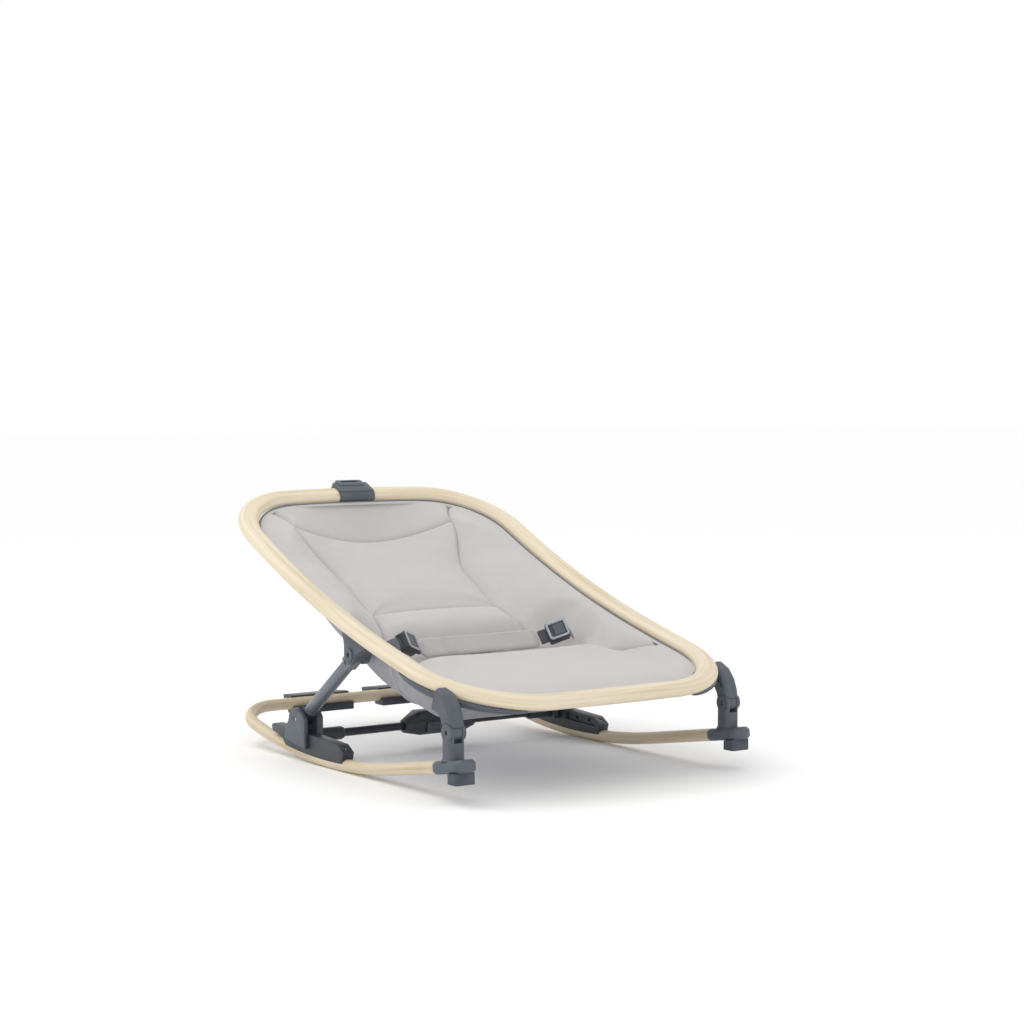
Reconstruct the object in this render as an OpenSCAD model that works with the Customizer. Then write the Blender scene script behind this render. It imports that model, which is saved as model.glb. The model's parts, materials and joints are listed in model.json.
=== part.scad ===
// Baby bouncer seat: a closed seat ring on a rocking base, with a strut and carriage recline.
// Left is -X, the head end is +Y, and the rockers rest on z = 0.

/* [Seat ring] */
// Half the width of the ring, between tube centrelines
ring_half_w = 216.6; // [212:0.1:220]
// Length of the ring along its own curve, between tube centrelines
ring_len = 662.2; // [655:0.1:670]
// Width of the ring's oval tube
ring_tube_w = 29.2; // [28:0.1:30]
// Height of the ring's oval tube
ring_tube_h = 19; // [18:0.1:20]
// Corner radius at the head
head_corner_r = 111.6; // [108:0.1:115]
// Corner radius at the feet
foot_corner_r = 124; // [120:1:128]
// Bow of the head end, from the sides to the middle
head_bow = 12.4; // [10:0.1:15]
// Bow of the foot end, from the sides to the middle
foot_bow = 4.6; // [3:0.1:7]
// Slope of the seat part of the ring, in degrees
seat_slope = 15; // [14.5:0.1:15.5]
// Slope of the back part of the ring, in degrees
back_slope = 25.7; // [25:0.1:26.5]
// Height of the ring's centreline at the feet
ring_front_z = 116.7; // [115:0.1:119]

/* [Rocker] */
// Distance of each rail from the middle
rail_x = 210.2; // [205:0.1:214]
// Diameter of the rocker tube
rocker_tube_d = 16.6; // [14:0.1:18]
// Radius of the rocking curve
rocker_r = 890; // [800:5:1000]
// Where the rocker touches the floor, behind the ring's front end
rock_y = 331; // [315:1:345]
// Where the rocker's rear tube lies, behind the ring's front end
rocker_rear_y = 593.6; // [580:0.1:600]
// Corner radius of the rocker at the rear
rocker_corner_r = 57.7; // [45:0.1:65]

/* [Seat cover] */
// Depth of the hollow between seat and back, below the ring
hollow_depth = 62; // [55:1:66]
// Thickness of the padding
pad_t = 16; // [12:1:18]
// Depth of the hanging shell under the seat, below the ring
sling_depth = 88; // [86:1:92]

/* [Hidden] */
$fn = 64;

wood = [0.90, 0.83, 0.66];
slate = [0.32, 0.35, 0.39];
charcoal = [0.20, 0.21, 0.23];
steel = [0.60, 0.62, 0.65];
fabric_light = [0.80, 0.79, 0.78];
fabric_mid = [0.62, 0.62, 0.64];
rubber = [0.25, 0.26, 0.28];

// The origin is on the floor in the middle of the plan; lengths below run from the ring's front.
plan_len = 632.8;
// The ring's front centreline
ring_front_y = 1.9;
ring_r = ring_tube_w / 2;
ring_t = ring_tube_h / 2;
half_len = ring_len / 2;
rail_r = rocker_tube_d / 2;
rock_c = [rock_y, rail_r + rocker_r];

// Pivots as [y, z]: seat on the legs, struts on the seat, carriage on the struts.
seat_pivot = [38, 86];
strut_pivot = [272, 156];
carriage_pivot = [406, 57];
leg_x = 218;
strut_x = 210;
pin_r = 3;
running_gap = 0.06;

// ---- the curved surface that the ring lies in ----
bend_s1 = -135.7;
bend_s2 = 184.8;
bend_r = (bend_s2 - bend_s1) / ((back_slope - seat_slope) * PI / 180);

function slope(s) =
    seat_slope + (back_slope - seat_slope) * min(1, max(0, (s - bend_s1) / (bend_s2 - bend_s1)));
function along(p, a, d) = [p[0] + d * cos(a), p[1] + d * sin(a)];
bend_p1 = along([ring_front_y, ring_front_z], seat_slope, bend_s1 + half_len);
function bend_point(a) = [
    bend_p1[0] + bend_r * (sin(a) - sin(seat_slope)),
    bend_p1[1] + bend_r * (cos(seat_slope) - cos(a))
];
function profile(s) =
    s <= bend_s1 ? along([ring_front_y, ring_front_z], seat_slope, s + half_len)
    : s <= bend_s2 ? bend_point(slope(s))
    : along(bend_point(back_slope), back_slope, s - bend_s2);
// A point at x across and s along the surface, at depth d below it.
function surf(x, s, d = 0) =
    let (p = profile(s), a = slope(s)) [x, p[0] + d * sin(a), p[1] - d * cos(a)];
function surf_up(s) = [0, -sin(slope(s)), cos(slope(s))];

// ---- the ring's outline on that surface, moved inwards by e ----
function end_r(bow) = (ring_half_w ^ 2 + bow ^ 2) / (2 * bow);
function corner_x(r) = ring_half_w - r;
function end_s(bow) = half_len - end_r(bow);
function corner_s(r, bow) = end_s(bow) + sqrt((end_r(bow) - r) ^ 2 - corner_x(r) ^ 2);
function corner_a(r, bow) = asin(corner_x(r) / (end_r(bow) - r));
function quarter(r, bow, e, n_end = 10, n_corner = 16) = let (t = corner_a(r, bow)) concat(
    [for (i = [0 : n_end - 1]) let (a = t * i / n_end)
        [(end_r(bow) - e) * sin(a), end_s(bow) + (end_r(bow) - e) * cos(a)]],
    [for (i = [0 : n_corner]) let (a = t + (90 - t) * i / n_corner)
        [corner_x(r) + (r - e) * sin(a), corner_s(r, bow) + (r - e) * cos(a)]]
);
function side_points(n = 14) = let (
    s1 = corner_s(head_corner_r, head_bow),
    s2 = -corner_s(foot_corner_r, foot_bow)
) [for (i = [1 : n - 1]) s1 + (s2 - s1) * i / n];
function reversed(list) = [for (i = [len(list) - 1 : -1 : 0]) list[i]];
function half_outline(e) = concat(
    quarter(head_corner_r, head_bow, e),
    [for (s = side_points()) [ring_half_w - e, s]],
    [for (p = reversed(quarter(foot_corner_r, foot_bow, e))) [p[0], -p[1]]]
);
function outline(e) = let (h = half_outline(e))
    concat(h, [for (i = [len(h) - 2 : -1 : 1]) [-h[i][0], h[i][1]]]);
function half_width(s, e) = let (
    r = s > 0 ? head_corner_r : foot_corner_r,
    bow = s > 0 ? head_bow : foot_bow,
    a = abs(s),
    cs = corner_s(r, bow),
    join = cs + (r - e) * cos(corner_a(r, bow))
) a < cs ? ring_half_w - e
    : a < join ? corner_x(r) + sqrt((r - e) ^ 2 - (a - cs) ^ 2)
    : sqrt(max(0, (end_r(bow) - e) ^ 2 - (a - end_s(bow)) ^ 2));

// ---- skins: rings of points joined into a closed solid ----
function unit(v) = v / norm(v);
function wrap(i, n) = (i + n) % n;
function quads(i, j, n) = [for (k = [0 : n - 1])
    [i * n + k, i * n + (k + 1) % n, j * n + (k + 1) % n, j * n + k]];
function flat(lists) = [for (l = lists) for (x = l) x];

module skin_loop(rings) {
    n = len(rings[0]);
    m = len(rings);
    polyhedron(flat(rings), flat([for (i = [0 : m - 1]) quads(i, (i + 1) % m, n)]), convexity = 8);
}

module skin_open(rings) {
    n = len(rings[0]);
    m = len(rings);
    caps = [[for (k = [n - 1 : -1 : 0]) k], [for (k = [0 : n - 1]) (m - 1) * n + k]];
    faces = concat(flat([for (i = [0 : m - 2]) quads(i, i + 1, n)]), caps);
    polyhedron(flat(rings), faces, convexity = 8);
}

// An ellipse of half-sizes a (sideways) and b (upwards) about c, square to tangent t.
function section(c, t, up, a, b, sides) = let (side = unit(cross(t, up)), top = cross(side, t))
    [for (k = [0 : sides - 1]) let (w = 360 * k / sides) c + side * a * cos(w) + top * b * sin(w)];
function loop_tangent(p, i) = unit(p[wrap(i + 1, len(p))] - p[wrap(i - 1, len(p))]);
function open_tangent(p, i) = unit(p[min(i + 1, len(p) - 1)] - p[max(i - 1, 0)]);

// A grid solid between two depths; place(u, v) gives [x, s], and top and under give depths.
module grid_solid(place, top, under, nu, nv) {
    cells = [for (v = [0 : nv]) for (u = [0 : nu]) place(u / nu, v / nv)];
    upper = [for (c = cells) surf(c[0], c[1], top(c[0], c[1]))];
    lower = [for (c = cells) surf(c[0], c[1], under(c[0], c[1]))];
    w = nu + 1;
    all = w * (nv + 1);
    top_f = [for (v = [0 : nv - 1]) for (u = [0 : nu - 1]) let (i = v * w + u)
        [i, i + w, i + w + 1, i + 1]];
    low_f = [for (f = top_f) [f[3] + all, f[2] + all, f[1] + all, f[0] + all]];
    rim = concat([for (u = [0 : nu]) u], [for (v = [1 : nv]) v * w + nu],
        [for (u = [nu - 1 : -1 : 0]) nv * w + u], [for (v = [nv - 1 : -1 : 1]) v * w]);
    rim_f = [for (i = [0 : len(rim) - 1]) let (a = rim[i], b = rim[(i + 1) % len(rim)])
        [a, b, b + all, a + all]];
    polyhedron(concat(upper, lower), concat(top_f, low_f, rim_f), convexity = 8);
}

// ---- placing ----
// Moves the origin from under the ring's front end to the middle of the plan.
module placed() {
    translate([0, -plan_len / 2, 0])
        children();
}

// The left half as drawn, or its mirror image on the right.
module side(right) {
    placed()
        mirror([right ? 0 : 1, 0, 0])
            children();
}

// A disc or pin of radius r along X, from x1 to x2, about the point p = [y, z].
module rod(p, r, x1, x2) {
    translate([x1, p[0], p[1]])
        rotate([0, 90, 0])
            cylinder(r = r, h = x2 - x1);
}

// An outline drawn in [y, z], extruded along X from x1 to x2.
module plate(x1, x2) {
    translate([x1, 0, 0])
        rotate([90, 0, 90])
            linear_extrude(height = x2 - x1)
                children();
}

// A rounded box from a to b, with radius r on its vertical edges.
module soft_box(a, b, r) {
    translate([(a[0] + b[0]) / 2, (a[1] + b[1]) / 2, a[2]])
        linear_extrude(height = b[2] - a[2])
            rounded([b[0] - a[0], b[1] - a[1]], r);
}

module rounded(size, r) {
    square([size[0] - 2 * r, size[1]], center = true);
    square([size[0], size[1] - 2 * r], center = true);
    for (i = [-1, 1], j = [-1, 1])
        translate([i * (size[0] / 2 - r), j * (size[1] / 2 - r)])
            circle(r);
}

// ---- rocker base ----
// The rails follow the rocking curve, and run straight into the front sockets
rail_slope = 9.2;
straight_y = rock_y - rocker_r * sin(rail_slope);
function rail_z(y) = rail_r + rocker_r
    - (y < straight_y ? rocker_r * cos(rail_slope) - (straight_y - y) * tan(rail_slope)
        : sqrt(rocker_r ^ 2 - (y - rock_y) ^ 2));
rail_front_y = 50;
rail_splay = 6;
rail_corner_y = rocker_rear_y - rocker_corner_r;
function rail_out(y) =
    rail_x + (y < rock_y ? rail_splay * ((rock_y - y) / (rock_y - rail_front_y)) ^ 2 : 0);
function rocker_half(n_rail = 24, n_corner = 10, n_rear = 5) = concat(
    [for (i = [0 : n_rail - 1]) let (y = rail_front_y + (rail_corner_y - rail_front_y) * i / n_rail)
        [rail_out(y), y]],
    [for (i = [0 : n_corner]) let (a = 90 * i / n_corner)
        [rail_x - rocker_corner_r * (1 - cos(a)), rail_corner_y + rocker_corner_r * sin(a)]],
    [for (i = [1 : n_rear]) [(rail_x - rocker_corner_r) * (1 - i / n_rear), rocker_rear_y]]
);
rocker_plan = let (h = rocker_half())
    concat(h, [for (i = [len(h) - 2 : -1 : 0]) [-h[i][0], h[i][1]]]);
rocker_path = [for (p = rocker_plan) [p[0], p[1], rail_z(p[1])]];

module rocker_frame() {
    color(wood)
        placed()
            skin_open([for (i = [0 : len(rocker_path) - 1])
                section(rocker_path[i], open_tangent(rocker_path, i), [0, 0, 1], rail_r, rail_r, 16)]);
}

flange_t = 15.5;
flange_r = 15;
flange_half = 20;
flange_edge = 3.5;
flange_c = [37.5, rail_z(37.5)];
leg_y = 39;
shaft_z = [46, 84];
knuckle_r = 11;
knuckle_gap = 0.6;

// Draws on the front end of the rail: y along it, z up from its centreline
module on_flange() {
    translate([leg_x, flange_c[0], flange_c[1]])
        rotate([-rail_slope, 0, 0])
            children();
}

module lower_leg(right) {
    color(slate)
        side(right) {
            difference() {
                union() {
                    // Oval socket that takes the end of the rocker tube
                    on_flange() {
                        hull()
                            for (y = [-flange_half, flange_half])
                                translate([0, y, -flange_t / 2]) {
                                    cylinder(r = flange_r - flange_edge, h = flange_t);
                                    translate([0, 0, flange_edge])
                                        cylinder(r = flange_r, h = flange_t - 2 * flange_edge);
                                }
                        translate([0, 3, flange_t / 2 - 0.5])
                            cylinder(r1 = 14.5, r2 = 10.5, h = 5);
                    }
                    // Shaft with rounded corners
                    soft_box([leg_x - 11, leg_y - 11, shaft_z[0]], [leg_x + 11, leg_y + 11, shaft_z[1]], 6);
                    rod(seat_pivot, knuckle_r, leg_x - 11, leg_x + 11);
                }
                // Room for the tongue of the upper leg
                translate([leg_x - 6, seat_pivot[0] - 30, seat_pivot[1] - knuckle_r - 1.2])
                    cube([12, 60, 60]);
                rod(seat_pivot, pin_r + 0.03, leg_x - 20, leg_x + 20);
                // Round pocket for the tube's end
                on_flange()
                    translate([-3, rail_front_y - flange_c[0] - 0.5, 0])
                        rotate([-90, 0, 0])
                            cylinder(r = rail_r + 0.3, h = 60);
            }
        }
}

block = [29, 21];
block_y = 12;
block_z = 25.5;

module foot_block(right) {
    color(rubber)
        side(right)
            difference() {
                soft_box([leg_x - block[0] / 2, block_y, block_z],
                    [leg_x + block[0] / 2, block_y + block[1], flange_c[1]], 4);
                on_flange()
                    translate([-30, -60, -flange_t / 2 - 0.2])
                        cube([60, 120, 40]);
                translate([leg_x, block_y + block[1] / 2, block_z - 1])
                    cylinder(r = 4, h = 5);
            }
}

module leg_pin(right) {
    color(steel)
        side(right)
            rod(seat_pivot, pin_r, leg_x - 9, leg_x + 9);
}

// ---- tracks: one on each rail, for the carriages ----
track_y = [292, 479];
track_top = 40;
function arc_points(r, y1, y2, n = 12) = [for (i = [0 : n]) let (y = y1 + (y2 - y1) * i / n)
    [y, rock_c[1] - sqrt(r ^ 2 - (y - rock_y) ^ 2)]];

module track_profile() {
    bottom = arc_points(rocker_r - 1, track_y[0] + 4, 440);
    polygon(concat(bottom, [[452, 29], [track_y[1] - 3, 33], [track_y[1], 40], [track_y[1] - 4, 43], [430, track_top],
        [372, 39], [306, 35], [track_y[0], 26]]));
}

module track(right) {
    color(slate)
        side(right)
            difference() {
                plate(rail_x - 8, rail_x + 8)
                    track_profile();
                // The rocker tube lies in a round seat
                translate([rail_x, rock_c[0], rock_c[1]])
                    rotate([0, 90, 0])
                        rotate_extrude($fn = 360)
                            translate([rocker_r, 0])
                                circle(r = rail_r + 0.04);
                // Open channel along the inner side, with a scooped front end
                plate(rail_x - 9, rail_x - 3.5)
                    polygon([[300, 22], [372, 24.5], [372, 34.5], [306, 31]]);
                translate([rail_x - 5, 284, 29])
                    rotate([30, 0, 0])
                        cube([10, 20, 10]);
                // Latch holes and screw holes
                for (y = [322, 350])
                    rod([y, 29], 2.6, rail_x - 9, rail_x + 3);
                for (y = [300, 434])
                    translate([rail_x, y, 5])
                        cylinder(r = 2.03, h = 60);
            }
}

module track_screws() {
    color(steel)
        placed()
            for (x = [-rail_x, rail_x], y = [300, 434])
                translate([x, y, 0]) {
                    translate([0, 0, rail_z(y) + rail_r + 1])
                        cylinder(r = 2, h = 12);
                }
}

// ---- seat ring and what is fixed to it ----
function ring_path(e, d) = [for (p = outline(e)) surf(p[0], p[1], d)];
function ring_rings(e, d, a, b, sides) = let (path = ring_path(e, d), plan = outline(e))
    [for (i = [0 : len(path) - 1])
        section(path[i], loop_tangent(path, i), surf_up(plan[i][1]), a, b, sides)];

module seat_ring() {
    color(wood)
        placed()
            skin_loop(ring_rings(0, 0, ring_r, ring_t, 20));
}

trim_r = 2;
trim_in = ring_r + trim_r + 0.25;

module ring_trim() {
    color(charcoal)
        placed()
            skin_loop(ring_rings(trim_in, 2, trim_r, trim_r, 6));
}

// A clip round the middle of the ring's head end, with a slot for a toy bar
clip_r = ring_t + 2.2;
clip_half = 29;
clip_top = 12.2;

module head_socket() {
    p = profile(half_len);
    color(slate)
        placed()
            difference() {
                translate([0, p[0], p[1]])
                    rotate([back_slope, 0, 0])
                        difference() {
                            union() {
                                hull()
                                    for (y = [-1, 1] * (ring_r - ring_t))
                                        translate([0, y, 0])
                                            rotate([0, 90, 0])
                                                cylinder(r = clip_r, h = 2 * clip_half, center = true);
                                soft_box([-clip_half, -10, 6], [clip_half, 16.5, clip_top], 3);
                                soft_box([-22, 6, -7], [22, 21.5, clip_top + 1], 3);
                            }
                            soft_box([-14, 15, -4], [14, 19.2, clip_top + 5], 1.5);
                        }
                skin_loop(ring_rings(0, 0, ring_r + 0.05, ring_t + 0.05, 20));
                skin_loop(ring_rings(trim_in, 2, trim_r + 0.2, trim_r + 0.2, 6));
            }
}

// Points of the ring's outline near the front corner, for the leg's saddle
function corner_path(a1, a2, n) = let (r = foot_corner_r)
    [for (i = [0 : n]) let (a = a1 + (a2 - a1) * i / n)
        [corner_x(r) + r * sin(a), -corner_s(r, foot_bow) - r * cos(a), a]];

module saddle() {
    plan = corner_path(18, 104, 20);
    n = len(plan) - 1;
    rings = [for (i = [0 : n]) let (
        p = plan[i],
        out = [sin(p[2]), -cos(p[2]) * cos(seat_slope), -cos(p[2]) * sin(seat_slope)],
        up = surf_up(p[1]),
        way = unit(out * 0.45 - up),
        full = sin(180 * i / n) ^ 0.6,
        c = surf(p[0], p[1]) + way * (11.4 + 2 * full),
        t = [cos(p[2]), sin(p[2]) * cos(seat_slope), sin(p[2]) * sin(seat_slope)]
    ) section(c, t, way, 5 + 6 * full, 2.2 + 3.4 * full, 12)];
    skin_open(rings);
}

// One slice of the leg's neck: n = height and depth from the pivot, lean and half-depth
module neck_slice(n) {
    translate([leg_x, seat_pivot[0] + n[1], seat_pivot[1] + n[0]])
        rotate([-n[2], 0, 0])
            soft_box([-11, -n[3], -0.5], [11, n[3], 0.5], 6);
}

module upper_leg(right) {
    // Slices up the neck: height and depth from the pivot, lean and half-depth
    neck = [[3, 1, 0, 11], [14, 3, 12, 11.5], [25, 8.5, 30, 12.5], [33, 17, 50, 14], [37, 28, 70, 15]];
    color(slate)
        side(right)
            difference() {
                union() {
                    difference() {
                        // Neck that sweeps back from the knuckle to the ring's corner
                        union() {
                            for (i = [0 : len(neck) - 2])
                                hull() {
                                    neck_slice(neck[i]);
                                    neck_slice(neck[i + 1]);
                                }
                        }
                        rod(seat_pivot, knuckle_r + knuckle_gap, leg_x - 20, leg_x + 20);
                        // Windows in the inner front face
                        for (i = [0 : 2])
                            translate([leg_x - 12, seat_pivot[0] + 1 + 5 * i, seat_pivot[1] + 22 + 4 * i])
                                rotate([-20, 0, 0])
                                    cube([4.5, 3, 6]);
                    }
                    // Tongue between the ears of the lower leg
                    rod(seat_pivot, knuckle_r - 0.6, leg_x - 5.7, leg_x + 5.7);
                    translate([leg_x - 5.7, seat_pivot[0] - 5, seat_pivot[1] + 4])
                        cube([11.4, 11, 9]);
                    saddle();
                }
                skin_loop(ring_rings(0, 0, ring_r + 0.1, ring_t + 0.1, 20));
                rod(seat_pivot, pin_r + running_gap, leg_x - 20, leg_x + 20);
            }
}

// ---- strut brackets under the ring ----
bracket_boss_r = 13;

// A point at y, straight below the ring's centreline by d
function under_ring(y, d) = let (s = bend_s1 + (y - profile(bend_s1)[0]) / cos(16.5)) [y, profile(s)[1] - d];

module bracket_profile() {
    polygon([[strut_pivot[0] - 12, strut_pivot[1] - 4], [255, 158], under_ring(236, 12.5), under_ring(235, 8.5),
        under_ring(262, 8.5), under_ring(290, 8.5), under_ring(289, 13), [strut_pivot[0] + 13, strut_pivot[1] + 12],
        [strut_pivot[0] + 13, strut_pivot[1] - 2]]);
    translate(strut_pivot)
        circle(r = bracket_boss_r);
}

module strut_bracket(right) {
    color(slate)
        side(right)
            difference() {
                union() {
                    plate(strut_x - 14, strut_x + 11)
                        bracket_profile();
                    rod(strut_pivot, 9.5, strut_x + 11, strut_x + 13);
                }
                // Room for the edge of the cover
                plate(strut_x - 15, strut_x - 9.5)
                    polygon([for (y = [230, 262, 300]) under_ring(y, 18),
                        [300, 250], [230, 250]]);
                // Gap for the strut's eye, and room for it to swing
                rod(strut_pivot, 10.3, strut_x - 7.6, strut_x + 7.6);
                translate([strut_x - 7.6, strut_pivot[0] - 10.3, strut_pivot[1] - 30])
                    cube([15.2, 60, 30]);
                translate([strut_x - 7.6, strut_pivot[0], strut_pivot[1] - 30])
                    cube([15.2, 60, 41]);
                skin_loop(ring_rings(0, 0, ring_r + 0.1, ring_t + 0.1, 20));
                rod(strut_pivot, pin_r + 0.03, strut_x - 40, strut_x + 40);
                for (y = [246, 283])
                    translate([strut_x + 2, y, 160])
                        cylinder(r = 1.53, h = 30);
            }
}

module strut_pins() {
    color(steel)
        placed()
            for (m = [0, 1])
                mirror([m, 0, 0])
                    rod(strut_pivot, pin_r, strut_x - 13, strut_x + 9);
}

module bracket_screws() {
    color(steel)
        placed()
            for (m = [0, 1], y = [246, 283])
                mirror([m, 0, 0])
                    translate([strut_x + 2, y, y == 246 ? 164.5 : 172.5])
                        cylinder(r = 1.5, h = 5);
}

// ---- struts and their feet ----
strut_dir = carriage_pivot - strut_pivot;
strut_len = norm(strut_dir);
strut_angle = atan2(strut_dir[1], strut_dir[0]);
strut_tube_r = 8.6;

// Draws along the strut: x across, y down the strut from its upper pivot
module on_strut() {
    translate([strut_x, strut_pivot[0], strut_pivot[1]])
        rotate([strut_angle, 0, 0])
            children();
}

module strut(right) {
    color(steel)
        side(right)
            difference() {
                union() {
                    rod(strut_pivot, 9, strut_x - 7, strut_x + 7);
                    on_strut() {
                        translate([-7, 0, -9])
                            cube([14, 24, 18]);
                        translate([0, 20, 0])
                            rotate([-90, 0, 0])
                                cylinder(r = strut_tube_r, h = strut_len - 42);
                    }
                }
                rod(strut_pivot, pin_r + running_gap, strut_x - 20, strut_x + 20);
            }
}

module strut_foot(right) {
    color(charcoal)
        side(right)
            difference() {
                union() {
                    rod(carriage_pivot, 8.5, strut_x - 7, strut_x + 7);
                    on_strut()
                        translate([-7, strut_len - 21.8, -8.2])
                            cube([14, 22, 16.4]);
                }
                rod(carriage_pivot, pin_r + running_gap, strut_x - 20, strut_x + 20);
            }
}

// ---- carriages that run on the tracks ----
cheek_in = [192.5, 201.2];
cheek_out = [219.2, 224.5];
bar = [398.7, 34];
bar_r = 5.6;
bridge_z = [44.3, 48.5];

module cheek_profile(front, low) {
    polygon([[front, low], [front, 60], [393, 69], [418, 66], [424, 52], [432, 45], [433, low + 9]]);
    translate(carriage_pivot)
        circle(r = 15.5);
}

module carriage(right) {
    color(slate)
        side(right)
            difference() {
                union() {
                    plate(cheek_out[0], cheek_out[1])
                        cheek_profile(381, 20);
                    plate(cheek_in[0], cheek_in[1])
                        cheek_profile(386, 24);
                    // Bridge over the track, behind the strut's foot
                    plate(cheek_in[0], cheek_out[1])
                        polygon([[418, bridge_z[0]], [431.5, bridge_z[0]], [431.5, bridge_z[0] + 1],
                            [418, bridge_z[1] + 1]]);
                }
                rod(carriage_pivot, pin_r + 0.03, 150, 260);
                rod(bar, 3.56, 150, cheek_out[0] - 1);
            }
}

module carriage_pins() {
    color(steel)
        placed()
            for (m = [0, 1])
                mirror([m, 0, 0])
                    rod(carriage_pivot, pin_r, cheek_in[0] + 1, cheek_out[1] - 1);
}

sleeve_x = [154, 192.5];
hub_half = 57;

module crossbar() {
    color(charcoal)
        placed()
            difference() {
                union()
                    for (m = [0, 1])
                        mirror([m, 0, 0])
                            rod(bar, bar_r, hub_half - 15, sleeve_x[1] - 10);
                rod(bar, 3.56, -sleeve_x[1], sleeve_x[1]);
            }
}

module sleeve(right) {
    color(charcoal)
        side(right)
            difference() {
                union() {
                    rod(bar, 9, sleeve_x[0] + 4, sleeve_x[1]);
                    translate([sleeve_x[0], bar[0], bar[1]])
                        rotate([0, 90, 0])
                            cylinder(r1 = 7.6, r2 = 9, h = 4);
                }
                rod(bar, bar_r + 0.03, sleeve_x[0] - 1, sleeve_x[1] - 10);
                rod(bar, 3.56, sleeve_x[0], sleeve_x[1] + 1);
            }
}

module latch_pin(right) {
    color(steel)
        side(right)
            rod(bar, 3.5, sleeve_x[1] - 16, cheek_in[1] - 0.4);
}

hub_mid = 36;
hub_z = [20.7, 53.7];
hub_y = [384.5, 413];
handle_travel = 6;

// Outer form of the hub: a flat middle and a cone at each end
module hub_form() {
    hull() {
        translate([-hub_mid, hub_y[0], hub_z[0] + 5])
            cube([2 * hub_mid, hub_y[1] - hub_y[0], hub_z[1] - hub_z[0] - 10]);
        translate([-hub_mid, hub_y[0] + 5, hub_z[0]])
            cube([2 * hub_mid, hub_y[1] - hub_y[0] - 10, hub_z[1] - hub_z[0]]);
        rod(bar, 9.5, -hub_half, hub_half);
    }
}

module handle_pocket(grow) {
    translate([-27 - grow, hub_y[0] - 2, 25 - grow])
        cube([54 + 2 * grow, 13 + (grow > 0 ? handle_travel + 0.8 : 0), 13 + 2 * grow]);
}

module hub_half_shell(upper) {
    color(charcoal)
        placed()
            difference() {
                intersection() {
                    hub_form();
                    translate([-80, 370, upper ? bar[1] + 6.1 : 0])
                        cube([160, 60, upper ? 40 : bar[1] + 5.9]);
                }
                rod(bar, bar_r + 0.03, -hub_half - 1, -hub_half + 15.5);
                rod(bar, bar_r + 0.03, hub_half - 15.5, hub_half + 1);
                if (!upper)
                    handle_pocket(0.6);
                // Grip hollow along the front
                translate([0, hub_y[0] - 5, upper ? 52 : 18])
                    rotate([0, 90, 0])
                        cylinder(r = 7, h = 60, center = true);
            }
}

module release_handle() {
    color(slate)
        placed()
            difference() {
                handle_pocket(0);
                translate([0, hub_y[0] - 7, 31.5])
                    rotate([0, 90, 0])
                        cylinder(r = 7, h = 44, center = true);
            }
}

// ---- rear stops: paddles that turn down about the rear tube ----
stop_x = [25, 122];
stop_c = [rocker_rear_y, rail_z(rocker_rear_y)];

module rear_stop(right) {
    color(charcoal)
        side(right)
            difference() {
                plate(stop_x[0], stop_x[1])
                    translate(stop_c)
                        polygon([[-14, -14], [8, -14], [12.5, -6], [46, 2], [46.5, 7],
                            [12, 10.5], [0, 10.5], [0, -2], [-14, -3]]);
                rod(stop_c, rail_r + 0.1, stop_x[0] - 1, stop_x[1] + 1);
                // Mouth that snaps over the tube
                translate([stop_x[0] - 1, stop_c[0] - 30, stop_c[1] - 3])
                    cube([200, 30, 20]);
                // Slanted inner end
                translate([stop_x[0] - 6, stop_c[0] - 20, stop_c[1] - 20])
                    rotate([0, -15, 0])
                        cube([6, 80, 60]);
                // The paddle is shorter than the clip
                translate([stop_x[1] - 14, stop_c[0] + 14, stop_c[1] - 20])
                    cube([20, 60, 60]);
            }
}

// ---- seat cover ----
edge_in = ring_r + 2 * trim_r + 0.8;
function ease(t) = let (c = min(1, max(0, t))) c * c * (3 - 2 * c);
function smooth_table(x, t) = let (i = max([0, for (k = [0 : len(t) - 2]) if (t[k][0] <= x) k]))
    t[i][1] + (t[i + 1][1] - t[i][1]) * ease((x - t[i][0]) / (t[i + 1][0] - t[i][0]));
// Depth of the seating surface along the middle, at distance s along the ring
centre_depth = [[-half_len, 3], [-290, 9], [-126, 29], [-88, 38.5], [-44, hollow_depth], [-10, hollow_depth],
    [34, 45], [69, 42], [155, 38], [259, 35], [half_len, 3]];
// Where the flat middle ends and the side rises, as a distance from the middle
side_start = [[-half_len, 120], [-196, 162], [-16, 148], [69, 100], [155, 86], [259, 0], [half_len, 20]];
// Where the side has risen to the ring, as a share of the way out to it
side_end = [[-half_len, 1], [69, 1], [155, 0.97], [259, 0.73], [half_len, 0.95]];
// Seams between the back and the side bolsters
seam_table = [[-half_len, 120], [-88, 124], [-2, 118], [69, 104], [155, 106], [259, 134], [half_len, 166]];
function seat_depth(x, s) = let (
    w = half_width(s, edge_in),
    a = min(smooth_table(s, side_start), w - 20),
    b = w * smooth_table(s, side_end),
    t = min(1, max(0, (abs(x) - a) / (b - a))),
    bowl = ease((s - 105) / 120)
) 3 + (smooth_table(s, centre_depth) - 3) * (1 - ease(t) * (1 - bowl) - t ^ 2 * bowl);
function pad_under(x, s) = let (w = half_width(s, edge_in), t = min(1, abs(x) / w),
    e = min(1, (half_len - edge_in - abs(s)) / 40))
    seat_depth(x, s) + 3 + (pad_t - 3) * (1 - t ^ 4) * ease(0.15 + max(0, e));
// Depth of the hanging shell along the middle
sling_table = [[-half_len, 8], [-250, 25], [-166, sling_depth - 3], [-66, sling_depth + 2], [25, 76],
    [155, 56], [267, 50], [half_len, 10]];
sling_t = 2.5;
function sling_over(x, s) = let (w = half_width(s, edge_in), t = min(1, abs(x) / w))
    max(pad_under(x, s) + 3.5, 6 + (smooth_table(s, sling_table) - 6) * (1 - t ^ 8));
function sling_under(x, s) = sling_over(x, s) + sling_t;

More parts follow.
